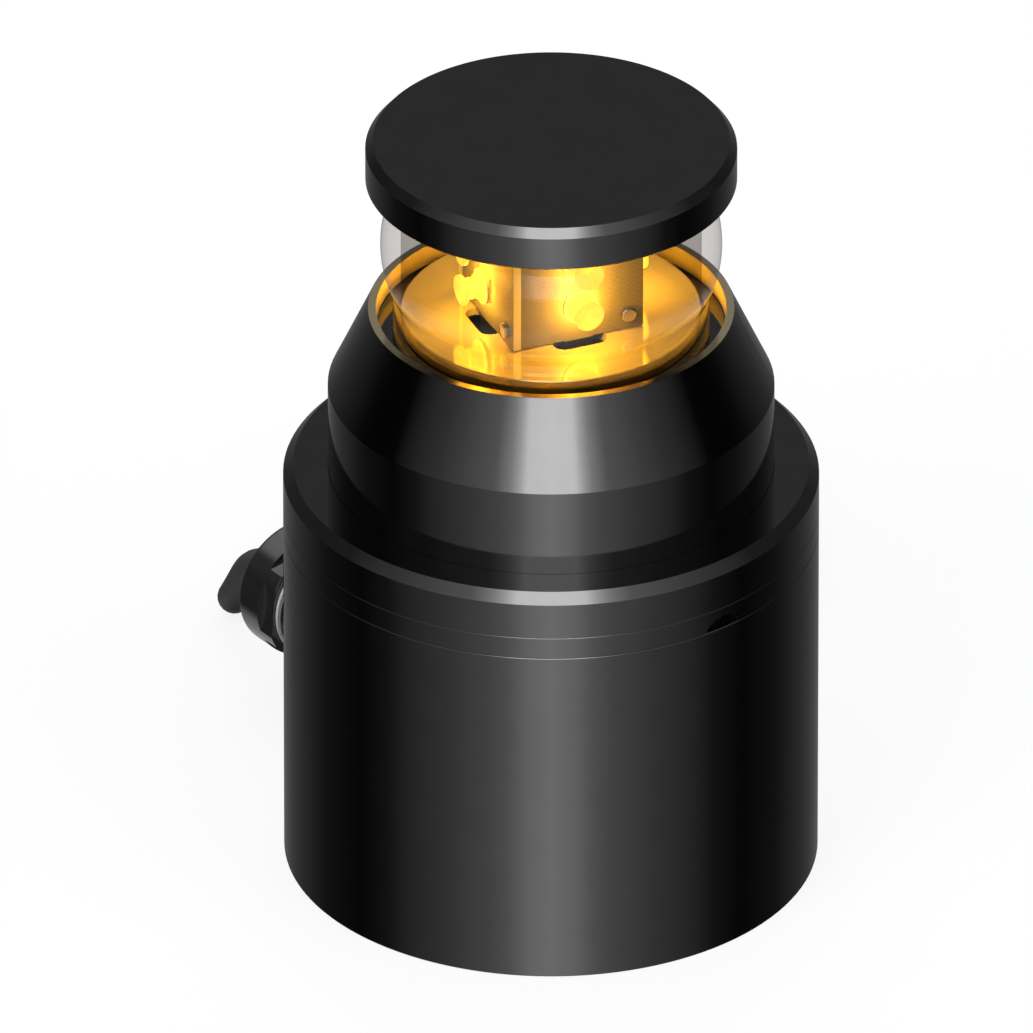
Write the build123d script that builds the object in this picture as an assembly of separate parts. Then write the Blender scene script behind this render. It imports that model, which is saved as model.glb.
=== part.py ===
from build123d import *
from math import cos, radians, sin, sqrt, tan
import os

# LED strobe light: a black turned base that holds a lamp head by a threaded collar.
# Millimetres, +Z up. The origin is the centre of the base's underside; -Y is the front.

# Running and seat clearances, and how far cutting shapes reach past what they cut
THREAD_CLEARANCE = 0.05
SLIP = 0.05
SEAL_GAP = 0.05
CUT_PAST = 1.0

# Base
BASE_R = 40.0
BASE_FLOOR = 6.0
BASE_EDGE = 0.15
SLEEVE_TOP = 54.9
SPIGOT_H = 6.1
SPIGOT_WALL = 3.2
SEAM_EDGE = 0.15

# Lock ring and retaining collar on the spigot
RING_WALL = 2.4
LOCK_RING_GAP = 0.05
LOCK_RING_T = 3.45
NOTCH_R = 4.0
NOTCH_DROP = 1.9
NOTCH_BORE = 8.0
NOTCH_ANGLE = -50.0
NOTCH_COUNT = 2
COLLAR_H = 7.1
COLLAR_EDGE = 1.5
SLIP_RING_H = 0.5

# Mounting holes and the seal groove in the underside
MOUNT_PCD = 50.0
MOUNT_COUNT = 4
MOUNT_TAP_R = 2.1
MOUNT_ANGLE = 45.0
BASE_GROOVE_INSET = 4.4
BASE_CORD_R = 0.9

# Lamp housing
FLANGE_SETBACK = 0.4
FLANGE_LEDGE = 3.9
FLANGE_T = 2.0
BARREL_GAP = 3.4
BARREL_WALL = 2.5
BARREL_DROP = 34.0
NECK_H = 16.2
CONE_H = 13.0
CONE_INSET = 6.0
RIM_WALL = 1.2
GROOVE_DEPTH = 3.4
WEB_T = 5.0
CAVITY_CORNER_H = 7.0
CAVITY_CORNER_W = 7.5
DECK_T = 1.2
DECK_INSET = 0.1
HEAD_CORD_R = 0.75

# Plug that closes the barrel
PLUG_T = 3.0
PLUG_THREAD = 5.0
PLUG_CORD_R = 0.7
PLUG_LAND = 1.0
PLUG_SPANNER_R = 2.0
PLUG_SPANNER_PCD = 40.0
GROMMET_R = 5.0
GROMMET_LIP = 1.2

# Ring lens and its seals
LENS_SETBACK = 3.7
LENS_FLANGE_W = 1.2
LENS_CROWN = 1.85
LENS_ARC_R = 17.0
LENS_SEAT = 0.1
SEAL_T = 0.8

# Cap
CAP_OVERHANG = 0.35
CAP_GAP = 22.0
CAP_H = 6.6
CAP_BEVEL = 1.3
CAP_BEVEL_INSET = 1.12
CAP_EDGE = 0.25
CAP_GROOVE_DEPTH = 2.4

# Square post, boards and LEDs; the first board faces the front right
POST_SIDE = 18.5
BOARD_T = 1.2
BOARD_COUNT = 4
BOARD_ANGLE = -67.3
BOARD_LIFT = 0.2
BOARD_HEADROOM = 0.4
TAB_WIDTH = 4.6
TAB_LENGTH = 8.4
SLOT_LENGTH = 8.4
SLOT_REACH = 3.45
LED_HEIGHTS = (6.1, 12.9)
LED_BASE_R = 2.75
LED_BASE_T = 1.0
LED_FOOT_SIDE = 4.1
LED_OPTIC_R = 2.35
LED_OPTIC_T = 3.3
SCREW_HEAD_R = 1.2
SCREW_HEAD_T = 0.8
SCREW_HEAD_ROUND = 0.25
SCREW_SHANK_R = 0.75
SCREW_SHANK = 4.0
SCREW_INSET = 2.5

# Tie rod through the post
TIE_R = 2.5
TIE_CLEARANCE = 0.1
TIE_INTO_CAP = 3.6
WASHER_R = 5.0
WASHER_T = 1.0
NUT_FLATS = 8.0
NUT_T = 4.0
TIE_END = 1.5

# Driver
DRIVER_GAP = 3.5
DRIVER_T = 1.6
DRIVER_DROP = 18.0
STANDOFF_INSET = 3.0
STANDOFF_COUNT = 3
STANDOFF_FLATS = 5.5
DRIVER_SCREW_R = 1.2
DRIVER_SCREW_REACH = 5.0
DRIVER_HEAD_T = 1.6
LEAD_R = 0.5
LEAD_PITCH = 1.6
CAPACITOR_R = 4.0
CAPACITOR_H = 12.0
CAPACITOR_ROUND = 0.7
CAPACITOR_INSET = 7.5
CAPACITOR_ANGLE = 40.0
COIL_R = 4.5
COIL_BORE_R = 2.2
COIL_H = 5.0
COIL_INSET = 8.0
CHIP_T = 1.5
TERMINAL_SIZE = (10.2, 8.0, 10.0)
TERMINAL_CHAMFER = 1.2
TERMINAL_SCREW_R = 1.4
TERMINAL_SCREW_DEPTH = 2.0

# Cable gland, on an axis that leaves the base at the back left
GLAND_ANGLE = 126.0
GLAND_Z = 14.4
GLAND_THREAD_R = 8.0
GLAND_FLAT_DEPTH = 1.4
GLAND_SPOT_R = 10.6
GLAND_STEM = 6.6
GLAND_WASHER_R = 9.6
GLAND_WASHER_T = 0.8
GLAND_HEX = 18.0
GLAND_HEX_T = 5.0
GLAND_BARREL_R = 8.75
GLAND_BARREL_L = 13.3
GLAND_NECK_R = 7.6
GLAND_NECK_L = 4.7
GLAND_SEAL_R = 5.9
GLAND_SEAL_L = 6.4
GLAND_EDGE = 0.45
GLAND_SLIP_RING_T = 0.6
GLAND_O_RING_R = 8.95
GLAND_O_RING_T = 0.5
NUT_GAP = 0.1
NUT_R = 10.2
NUT_L = 8.0
NUT_HEX = 18.6
NUT_HEX_L = 2.9
NUT_HEX_TURN = 35.0
NUT_ROUND = 0.8
NUT_MOUTH_R = 3.7
NUT_MOUTH_EDGE = 0.6

# Cable
CABLE_R = 2.6
CABLE_SLIP = 0.05
CABLE_START = 64.6
CABLE_STRAIGHT_END = 70.5
INNER_BEND_R = 8.0
RUN_SHARE = 0.45
COIL_CENTRE = (2.0, 90.0)
COIL_MID_R = 29.0
COIL_ROWS = 2
COIL_LAYERS = 2
COIL_LIFT = 1.0
CORE_R = 0.9
CORE_SPREAD = 1.15
CORE_REACH = 4.0
CORE_LENGTH = 6.0
CORE_STRAIGHT = 0.8
CORE_BEND_R = 1.35
CORE_FAN = 0.12
TERMINAL_DEPTH = 4.5
FERRULE_R = 1.3
FERRULE_LENGTH = 7.0
FERRULE_COLLAR = 2.1
FERRULE_PIN_R = 0.9
TIE_T = 0.9
TIE_WIDTH = 3.6
TIE_HEAD = 4.6
TIE_ANGLE = 60.0

# Routes of the free cable, chosen by hand: down from the gland to the floor and
# round to the coil behind the base, and from the coil's upper turn to the cut end
CABLE_ROUTE = [
    (-44.9, 61.4, 12.6),
    (-46.9, 62.9, 7.6),
    (-48.2, 66.4, 3.2),
    (-46.2, 72.8, 2.7),
    (-41.4, 80.6, 2.7),
    (-36.4, 88.8, 2.8),
    (-31.2, 97.0, 3.2),
    (-25.9, 104.8, 3.6),
]
TAIL_ROUTE = [
    (33.6, 90.0, 8.8),
    (33.7, 82.0, 8.6),
    (32.8, 74.0, 5.0),
    (30.6, 66.5, 2.7),
    (26.5, 60.0, 2.7),
]

# Chips: middle as shares of the radius of the standoffs' circle, then width and depth
CHIPS = ((-0.30, -0.70, 6.0, 5.0), (0.30, -0.70, 5.0, 4.0), (0.0, 0.53, 6.0, 5.0))

# Outline of an LED optic, as shares of its radius and its depth from the base outwards
OPTIC_OUTLINE = [
    (0.0, 0.0),
    (0.95, 0.0),
    (0.95, 0.12),
    (0.68, 0.34),
    (0.74, 0.52),
    (0.62, 0.60),
    (1.0, 0.84),
    (1.0, 1.0),
    (0.86, 1.0),
    (0.0, 0.78),
]

# Sizes that follow from the ones above
SPIGOT_R = BASE_R - RING_WALL
SPIGOT_TOP = SLEEVE_TOP + SPIGOT_H
BASE_BORE_R = SPIGOT_R - SPIGOT_WALL
BASE_GROOVE_R = BASE_R - BASE_GROOVE_INSET
RING_BORE_R = SPIGOT_R + THREAD_CLEARANCE
LOCK_RING_BOTTOM = SLEEVE_TOP + LOCK_RING_GAP
LOCK_RING_TOP = LOCK_RING_BOTTOM + LOCK_RING_T
COLLAR_BOTTOM = LOCK_RING_TOP
COLLAR_TOP = COLLAR_BOTTOM + COLLAR_H
FLANGE_R = SPIGOT_R - FLANGE_SETBACK
FLANGE_BOTTOM = SPIGOT_TOP
FLANGE_TOP = FLANGE_BOTTOM + FLANGE_T
COLLAR_SEAT = FLANGE_TOP + SLIP_RING_H
HEAD_R = FLANGE_R - FLANGE_LEDGE
BARREL_R = BASE_BORE_R - BARREL_GAP
CAVITY_R = BARREL_R - BARREL_WALL
BARREL_BOTTOM = FLANGE_BOTTOM - BARREL_DROP
CONE_BOTTOM = FLANGE_TOP + NECK_H
RIM_TOP = CONE_BOTTOM + CONE_H
RIM_R = HEAD_R - CONE_INSET
RIM_INNER_R = RIM_R - RIM_WALL
GROOVE_FLOOR = RIM_TOP - GROOVE_DEPTH
LENS_INNER_R = RIM_INNER_R - LENS_SETBACK
LENS_FLANGE_R = LENS_INNER_R + LENS_FLANGE_W
LENS_MAX_R = LENS_FLANGE_R + LENS_CROWN
DECK_R = LENS_INNER_R - DECK_INSET
BOSS_R = DECK_R
BOSS_TOP = RIM_TOP - DECK_T
CEILING = BOSS_TOP - WEB_T
CEILING_R = CAVITY_R - CAVITY_CORNER_W
CAVITY_SHOULDER = CEILING - CAVITY_CORNER_H
CAP_BOTTOM = RIM_TOP + CAP_GAP
CAP_TOP = CAP_BOTTOM + CAP_H
CAP_R = RIM_R + CAP_OVERHANG
CAP_FACE_R = CAP_R - CAP_BEVEL_INSET
LENS_MID = (RIM_TOP + CAP_BOTTOM) / 2
LENS_BOTTOM = GROOVE_FLOOR + SEAL_T
LENS_TOP = CAP_BOTTOM + CAP_GROOVE_DEPTH - SEAL_T
SLOT_OUTER = POST_SIDE / 2 + SLOT_REACH
TIE_BORE_R = TIE_R + TIE_CLEARANCE
DRIVER_R = CAVITY_R - DRIVER_GAP
DRIVER_Z = CEILING - DRIVER_DROP
STANDOFF_PLACE_R = CEILING_R - STANDOFF_INSET
CAPACITOR_PLACE_R = DRIVER_R - CAPACITOR_INSET
COIL_PLACE_R = DRIVER_R - COIL_INSET
PLUG_TOP = BARREL_BOTTOM + PLUG_THREAD
PLUG_BOTTOM = BARREL_BOTTOM - PLUG_T
CABLE_BORE_R = CABLE_R + CABLE_SLIP
GLAND_FLAT = BASE_R - GLAND_FLAT_DEPTH
GLAND_INSIDE = GLAND_FLAT - GLAND_STEM
GLAND_HEX_START = GLAND_FLAT + GLAND_WASHER_T
GLAND_HEX_END = GLAND_HEX_START + GLAND_HEX_T
GLAND_BARREL_END = GLAND_HEX_END + GLAND_BARREL_L
GLAND_NECK_END = GLAND_BARREL_END + GLAND_NECK_L
GLAND_SEAL_START = GLAND_NECK_END - GLAND_SEAL_L
NUT_INNER = GLAND_BARREL_END + GLAND_O_RING_T + NUT_GAP
NUT_OUTER = NUT_INNER + NUT_L
NUT_HEX_END = NUT_INNER + NUT_HEX_L
GLAND_OUT = Vector(cos(radians(GLAND_ANGLE)), sin(radians(GLAND_ANGLE)), 0)
GLAND_SIDE = Vector(sin(radians(GLAND_ANGLE)), -cos(radians(GLAND_ANGLE)), 0)
GLAND_PLANE = Plane(origin=(0, 0, GLAND_Z), x_dir=GLAND_SIDE, z_dir=GLAND_OUT)


def turned(*points):
    """A closed (radius, height) outline turned about Z."""
    return revolve(Plane.XZ * make_face(Polyline(*points, close=True)), Axis.Z)


def tube(outer, inner, bottom, top):
    """A plain ring between two heights."""
    return turned((inner, bottom), (outer, bottom), (outer, top), (inner, top))


def rod(radius, bottom, top):
    """A round bar about Z between two heights."""
    return Pos(0, 0, (bottom + top) / 2) * Cylinder(radius, top - bottom)


def hexagon(flats, bottom, top):
    """A hexagonal bar about Z between two heights."""
    sketch = RegularPolygon(flats / 2, 6, major_radius=False)
    return Pos(0, 0, bottom) * extrude(sketch, top - bottom)


def cord_ring(ring_r, cord_r, height):
    """A round rubber ring."""
    return Pos(0, 0, height) * Torus(ring_r, cord_r)


def around(count, radius, first=0.0):
    """Places on a circle about Z, each turned to face outwards."""
    return [Rot(0, 0, first + i * 360 / count) * Pos(radius, 0, 0) for i in range(count)]


def gland_place(distance, side=0.0, height=GLAND_Z):
    """A point at a distance along the gland's axis, moved sideways to the right and in height."""
    point = GLAND_OUT * distance + GLAND_SIDE * side
    return (point.X, point.Y, height)


def base_sleeve():
    body = turned(
        (0, 0),
        (BASE_R - BASE_EDGE, 0),
        (BASE_R, BASE_EDGE),
        (BASE_R, SLEEVE_TOP - SEAM_EDGE),
        (BASE_R - SEAM_EDGE, SLEEVE_TOP),
        (SPIGOT_R, SLEEVE_TOP),
        (SPIGOT_R, SPIGOT_TOP - SEAM_EDGE),
        (SPIGOT_R - SEAM_EDGE, SPIGOT_TOP),
        (BASE_BORE_R, SPIGOT_TOP),
        (BASE_BORE_R, BASE_FLOOR),
        (0, BASE_FLOOR),
    )
    seal_depth = 2 * BASE_CORD_R + SEAL_GAP
    groove_half = BASE_CORD_R + SEAL_GAP
    body -= tube(BASE_GROOVE_R + groove_half, BASE_GROOVE_R - groove_half, 0, seal_depth)
    head_half = HEAD_CORD_R + SEAL_GAP
    head_r = (BASE_BORE_R + SPIGOT_R) / 2
    head_depth = 2 * HEAD_CORD_R + SEAL_GAP
    body -= tube(head_r + head_half, head_r - head_half, SPIGOT_TOP - head_depth, SPIGOT_TOP)
    for place in around(MOUNT_COUNT, MOUNT_PCD / 2, MOUNT_ANGLE):
        body -= place * rod(MOUNT_TAP_R, 0, BASE_FLOOR)
    body -= GLAND_PLANE * rod(GLAND_SPOT_R, GLAND_FLAT, BASE_R + CUT_PAST)
    body -= GLAND_PLANE * rod(GLAND_THREAD_R, GLAND_INSIDE, BASE_R)
    return body


def base_seal_ring():
    return cord_ring(BASE_GROOVE_R, BASE_CORD_R, BASE_CORD_R + SEAL_GAP / 2)


def head_seal_ring():
    middle = SPIGOT_TOP - HEAD_CORD_R - SEAL_GAP / 2
    return cord_ring((BASE_BORE_R + SPIGOT_R) / 2, HEAD_CORD_R, middle)


def lock_ring():
    ring = turned(
        (RING_BORE_R, LOCK_RING_BOTTOM),
        (BASE_R, LOCK_RING_BOTTOM),
        (BASE_R, LOCK_RING_TOP - SEAM_EDGE),
        (BASE_R - SEAM_EDGE, LOCK_RING_TOP),
        (RING_BORE_R, LOCK_RING_TOP),
    )
    # Half-moon spanner notches, bored radially through the ring's lower edge
    for i in range(NOTCH_COUNT):
        bore = Rot(0, 90, 0) * Cylinder(NOTCH_R, NOTCH_BORE)
        turn = NOTCH_ANGLE + i * 360 / NOTCH_COUNT
        ring -= Rot(0, 0, turn) * Pos(BASE_R, 0, SLEEVE_TOP - NOTCH_DROP) * bore
    return ring


def retaining_collar():
    return turned(
        (RING_BORE_R, COLLAR_BOTTOM),
        (BASE_R, COLLAR_BOTTOM),
        (BASE_R, COLLAR_TOP - COLLAR_EDGE),
        (BASE_R - COLLAR_EDGE, COLLAR_TOP),
        (HEAD_R + SLIP, COLLAR_TOP),
        (HEAD_R + SLIP, COLLAR_SEAT),
        (RING_BORE_R, COLLAR_SEAT),
    )


def collar_slip_ring():
    """Thin ring between the head's flange and the collar, so that the head doesn't turn."""
    return tube(FLANGE_R, HEAD_R + SLIP, FLANGE_TOP, COLLAR_SEAT)


def lead_slots(bottom, top):
    """The four slots under the boards, through the deck and the housing's web."""
    inner = POST_SIDE / 2 - SLIP
    width = SLOT_OUTER - inner
    middle = (SLOT_OUTER + inner) / 2
    slot = Pos(0, 0, bottom) * extrude(SlotOverall(SLOT_LENGTH, width), top - bottom)
    return [place * Rot(0, 0, 90) * slot for place in around(BOARD_COUNT, middle, BOARD_ANGLE)]


def lamp_housing():
    body = turned(
        (CAVITY_R, BARREL_BOTTOM),
        (BARREL_R, BARREL_BOTTOM),
        (BARREL_R, FLANGE_BOTTOM),
        (FLANGE_R, FLANGE_BOTTOM),
        (FLANGE_R, FLANGE_TOP),
        (HEAD_R, FLANGE_TOP),
        (HEAD_R, CONE_BOTTOM),
        (RIM_R, RIM_TOP),
        (RIM_INNER_R, RIM_TOP),
        (RIM_INNER_R, GROOVE_FLOOR),
        (BOSS_R, GROOVE_FLOOR),
        (BOSS_R, BOSS_TOP),
        (TIE_BORE_R, BOSS_TOP),
        (TIE_BORE_R, CEILING),
        (CEILING_R, CEILING),
        (CAVITY_R, CAVITY_SHOULDER),
    )
    for slot in lead_slots(CEILING, BOSS_TOP):
        body -= slot
    return body


def housing_plug():
    body = turned(
        (GROMMET_R, PLUG_BOTTOM),
        (BARREL_R - SEAM_EDGE, PLUG_BOTTOM),
        (BARREL_R, PLUG_BOTTOM + SEAM_EDGE),
        (BARREL_R, BARREL_BOTTOM),
        (CAVITY_R, BARREL_BOTTOM),
        (CAVITY_R, PLUG_TOP),
        (CAVITY_R - PLUG_T, PLUG_TOP),
        (CAVITY_R - PLUG_T, BARREL_BOTTOM),
        (GROMMET_R, BARREL_BOTTOM),
    )
    seal_half = PLUG_CORD_R + SEAL_GAP
    body -= tube(
        CAVITY_R,
        CAVITY_R - 2 * seal_half,
        PLUG_TOP - 2 * seal_half - PLUG_LAND,
        PLUG_TOP - PLUG_LAND,
    )
    for place in around(2, PLUG_SPANNER_PCD / 2):
        body -= place * rod(PLUG_SPANNER_R, PLUG_BOTTOM, PLUG_BOTTOM + PLUG_T / 2)
    return body


def housing_plug_seal():
    seal_half = PLUG_CORD_R + SEAL_GAP
    return cord_ring(CAVITY_R - seal_half, PLUG_CORD_R, PLUG_TOP - seal_half - PLUG_LAND)


def cable_grommet():
    lip = GROMMET_R + GROMMET_LIP
    return turned(
        (CABLE_BORE_R, PLUG_BOTTOM - GROMMET_LIP),
        (lip - GROMMET_LIP / 2, PLUG_BOTTOM - GROMMET_LIP),
        (lip, PLUG_BOTTOM - GROMMET_LIP / 2),
        (lip, PLUG_BOTTOM),
        (GROMMET_R, PLUG_BOTTOM),
        (GROMMET_R, BARREL_BOTTOM),
        (lip, BARREL_BOTTOM),
        (lip, BARREL_BOTTOM + GROMMET_LIP),
        (CABLE_BORE_R, BARREL_BOTTOM + GROMMET_LIP),
    )


def reflector_deck():
    deck = rod(DECK_R, BOSS_TOP, RIM_TOP)
    deck = chamfer(deck.edges().group_by(Axis.Z)[-1], SEAM_EDGE)
    side = POST_SIDE + 2 * SLIP
    deck -= Rot(0, 0, BOARD_ANGLE) * Pos(0, 0, BOSS_TOP) * extrude(Rectangle(side, side), DECK_T)
    for slot in lead_slots(BOSS_TOP, RIM_TOP):
        deck -= slot
    return deck


def lens_ring():
    """Barrel-shaped clear ring: a convex band between two plain flanges."""
    arc_centre = LENS_MAX_R - LENS_ARC_R
    half = sqrt(LENS_ARC_R**2 - (LENS_FLANGE_R - arc_centre) ** 2)
    low = (LENS_FLANGE_R, LENS_MID - half)
    high = (LENS_FLANGE_R, LENS_MID + half)
    outline = [
        Line((LENS_INNER_R, LENS_BOTTOM), (LENS_FLANGE_R, LENS_BOTTOM)),
        Line((LENS_FLANGE_R, LENS_BOTTOM), low),
        ThreePointArc(low, (LENS_MAX_R, LENS_MID), high),
        Line(high, (LENS_FLANGE_R, LENS_TOP)),
        Line((LENS_FLANGE_R, LENS_TOP), (LENS_INNER_R, LENS_TOP)),
        Line((LENS_INNER_R, LENS_TOP), (LENS_INNER_R, LENS_BOTTOM)),
    ]
    return revolve(Plane.XZ * make_face(outline), Axis.Z)


def lens_seal(bottom):
    """Flat silicone ring as wide as the lens flange."""
    return tube(LENS_FLANGE_R, LENS_INNER_R, bottom, bottom + SEAL_T)


def top_cap():
    cap = turned(
        (0, CAP_BOTTOM),
        (CAP_R - CAP_EDGE, CAP_BOTTOM),
        (CAP_R, CAP_BOTTOM + CAP_EDGE),
        (CAP_R, CAP_TOP - CAP_BEVEL),
        (CAP_FACE_R, CAP_TOP),
        (0, CAP_TOP),
    )
    groove_top = CAP_BOTTOM + CAP_GROOVE_DEPTH
    cap -= tube(LENS_FLANGE_R + LENS_SEAT, LENS_INNER_R - LENS_SEAT, CAP_BOTTOM, groove_top)
    cap -= rod(TIE_R, CAP_BOTTOM, CAP_BOTTOM + TIE_INTO_CAP)
    return cap


def heat_sink_column():
    post = extrude(Rectangle(POST_SIDE, POST_SIDE), CAP_BOTTOM - BOSS_TOP)
    post = Pos(0, 0, BOSS_TOP) * chamfer(post.edges().filter_by(Axis.Z), SEAM_EDGE)
    post -= rod(TIE_BORE_R, BOSS_TOP, CAP_BOTTOM)
    post = Rot(0, 0, BOARD_ANGLE) * post
    for i in range(BOARD_COUNT):
        for place in screw_places(i):
            post -= place * rod(SCREW_SHANK_R, BOARD_T - SCREW_SHANK, 0)
    return post


def board_frame(i):
    """Local frame on the post's face i: Z outwards, X sideways, Y up, at deck height."""
    turn = radians(BOARD_ANGLE + i * 360 / BOARD_COUNT)
    outwards = Vector(cos(turn), sin(turn), 0)
    sideways = Vector(-sin(turn), cos(turn), 0)
    origin = outwards * (POST_SIDE / 2) + Vector(0, 0, RIM_TOP)
    return Plane(origin=origin, x_dir=sideways, z_dir=outwards).location


def board_span():
    """Where a board starts and ends sideways: it covers the edge of the next board."""
    return -POST_SIDE / 2, POST_SIDE / 2 + BOARD_T


def screw_places(i):
    left, right = board_span()
    top = CAP_BOTTOM - BOARD_HEADROOM - RIM_TOP - SCREW_INSET
    low_right = Pos(right - SCREW_INSET, BOARD_LIFT + SCREW_INSET, 0)
    high_left = Pos(left + SCREW_INSET + BOARD_T, top, 0)
    return [board_frame(i) * spot for spot in (low_right, high_left)]


def led_board(i):
    left, right = board_span()
    bottom = BOARD_LIFT
    top = CAP_BOTTOM - BOARD_HEADROOM - RIM_TOP
    middle = Pos((left + right) / 2, (bottom + top) / 2, BOARD_T / 2)
    plate = middle * Box(right - left, top - bottom, BOARD_T)
    tab = Pos(0, bottom - TAB_LENGTH / 2, BOARD_T / 2) * Box(TAB_WIDTH, TAB_LENGTH, BOARD_T)
    board = board_frame(i) * (plate + tab)
    for place in screw_places(i):
        board -= place * rod(SCREW_SHANK_R + SLIP, 0, BOARD_T)
    return board


def led_bodies(i):
    """Two LED bases, round with a flat-sided foot, one above the other."""
    bases = []
    for height in LED_HEIGHTS:
        foot = Box(LED_FOOT_SIDE, LED_FOOT_SIDE, LED_BASE_T / 2)
        foot = Pos(0, 0, LED_BASE_T / 4) * foot
        disc = rod(LED_BASE_R, LED_BASE_T / 2, LED_BASE_T)
        bases.append(board_frame(i) * Pos(0, height, BOARD_T) * (foot + disc))
    return Compound(children=bases)


def led_optics(i):
    """Two side-emitting optics: a waist, a bell and a dished front disc."""
    optic = turned(*[(r * LED_OPTIC_R, depth * LED_OPTIC_T) for r, depth in OPTIC_OUTLINE])
    base_top = BOARD_T + LED_BASE_T
    optics = [board_frame(i) * Pos(0, height, base_top) * optic for height in LED_HEIGHTS]
    return Compound(children=optics)


def board_screws():
    screws = []
    for i in range(BOARD_COUNT):
        for place in screw_places(i):
            head = rod(SCREW_HEAD_R, BOARD_T, BOARD_T + SCREW_HEAD_T)
            head = fillet(head.edges().group_by(Axis.Z)[-1], SCREW_HEAD_ROUND)
            shank = rod(SCREW_SHANK_R, BOARD_T - SCREW_SHANK, BOARD_T)
            screws.append(place * (head + shank))
    return Compound(children=screws)


def tie_rod():
    return rod(TIE_R, CEILING - WASHER_T - NUT_T - TIE_END, CAP_BOTTOM + TIE_INTO_CAP)


def tie_washer():
    return tube(WASHER_R, TIE_R, CEILING - WASHER_T, CEILING)


def tie_nut():
    top = CEILING - WASHER_T
    return hexagon(NUT_FLATS, top - NUT_T, top) - rod(TIE_R, top - NUT_T, top)


def led_leads():
    """A pair of wires from each board's tab down to the driver board."""
    tab_end = RIM_TOP + BOARD_LIFT - TAB_LENGTH
    wires = []
    for place in around(BOARD_COUNT, POST_SIDE / 2 + BOARD_T / 2, BOARD_ANGLE):
        for side in (-LEAD_PITCH / 2, LEAD_PITCH / 2):
            wires.append(place * Pos(0, side, 0) * rod(LEAD_R, DRIVER_Z + DRIVER_T, tab_end))
    return Compound(children=wires)


def driver_board():
    board = rod(DRIVER_R, DRIVER_Z, DRIVER_Z + DRIVER_T)
    for place in around(STANDOFF_COUNT, STANDOFF_PLACE_R, 90):
        board -= place * rod(DRIVER_SCREW_R + SLIP, DRIVER_Z, DRIVER_Z + DRIVER_T)
    return board


def driver_standoffs():
    posts = []
    tapped = rod(DRIVER_SCREW_R, DRIVER_Z + DRIVER_T, DRIVER_Z + DRIVER_T + DRIVER_SCREW_REACH)
    for place in around(STANDOFF_COUNT, STANDOFF_PLACE_R, 90):
        post = hexagon(STANDOFF_FLATS, DRIVER_Z + DRIVER_T, CEILING)
        posts.append(place * (post - tapped))
    return Compound(children=posts)


def driver_screws():
    screws = []
    shank = rod(DRIVER_SCREW_R, DRIVER_Z, DRIVER_Z + DRIVER_T + DRIVER_SCREW_REACH)
    for place in around(STANDOFF_COUNT, STANDOFF_PLACE_R, 90):
        head = rod(2 * DRIVER_SCREW_R, DRIVER_Z - DRIVER_HEAD_T, DRIVER_Z)
        screws.append(place * (head + shank))
    return Compound(children=screws)


def driver_coils():
    """Two wound power coils under the board."""
    coils = []
    for place in around(2, COIL_PLACE_R):
        coils.append(place * tube(COIL_R, COIL_BORE_R, DRIVER_Z - COIL_H, DRIVER_Z))
    return Compound(children=coils)


def driver_capacitors():
    """Two capacitor cans, one each side of the standoff at the back."""
    cans = []
    for angle in (90 - CAPACITOR_ANGLE, 90 + CAPACITOR_ANGLE):
        can = rod(CAPACITOR_R, DRIVER_Z - CAPACITOR_H, DRIVER_Z)
        can = fillet(can.edges().group_by(Axis.Z)[0], CAPACITOR_ROUND)
        cans.append(Rot(0, 0, angle) * Pos(CAPACITOR_PLACE_R, 0, 0) * can)
    return Compound(children=cans)


def driver_chips():
    chips = []
    for x, y, width, depth in CHIPS:
        middle = Pos(x * STANDOFF_PLACE_R, y * STANDOFF_PLACE_R, DRIVER_Z - CHIP_T / 2)
        chips.append(middle * Box(width, depth, CHIP_T))
    return Compound(children=chips)


def terminal_block():
    """Two-way screw terminal; the cable comes up to it from below."""
    w, d, h = TERMINAL_SIZE
    screw_hole = Cylinder(TERMINAL_SCREW_R, TERMINAL_SCREW_DEPTH)
    block = Pos(0, 0, DRIVER_Z - h / 2) * Box(w, d, h)
    block = chamfer(block.edges().group_by(Axis.Z)[0].filter_by(Axis.X), TERMINAL_CHAMFER)
    for x in (-w / 4, w / 4):
        block -= Pos(x, 0, 0) * rod(CORE_R + SLIP, DRIVER_Z - h, DRIVER_Z - h + TERMINAL_DEPTH)
        block -= Pos(x, -d / 2, DRIVER_Z - h / 2) * Rot(90, 0, 0) * screw_hole
    return block


def gland_body():
    """Threaded stem, hexagon, round barrel and threaded neck with the seal's seat."""
    body = rod(GLAND_THREAD_R, GLAND_INSIDE, GLAND_HEX_START)
    body += hexagon(GLAND_HEX, GLAND_HEX_START, GLAND_HEX_END)
    body += turned(
        (0, GLAND_HEX_END),
        (GLAND_BARREL_R, GLAND_HEX_END),
        (GLAND_BARREL_R, GLAND_BARREL_END - GLAND_EDGE),
        (GLAND_BARREL_R - GLAND_EDGE, GLAND_BARREL_END),
        (GLAND_NECK_R, GLAND_BARREL_END),
        (GLAND_NECK_R, GLAND_NECK_END),
        (0, GLAND_NECK_END),
    )
    body -= rod(CABLE_BORE_R, GLAND_INSIDE, GLAND_NECK_END)
    body -= rod(GLAND_SEAL_R, GLAND_SEAL_START, GLAND_NECK_END)
    return GLAND_PLANE * body


def gland_washer():
    return GLAND_PLANE * tube(
        GLAND_WASHER_R, GLAND_THREAD_R, GLAND_FLAT, GLAND_FLAT + GLAND_WASHER_T
    )


def gland_seal():
    return GLAND_PLANE * tube(GLAND_SEAL_R, CABLE_BORE_R, GLAND_SEAL_START, GLAND_NECK_END)


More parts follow.
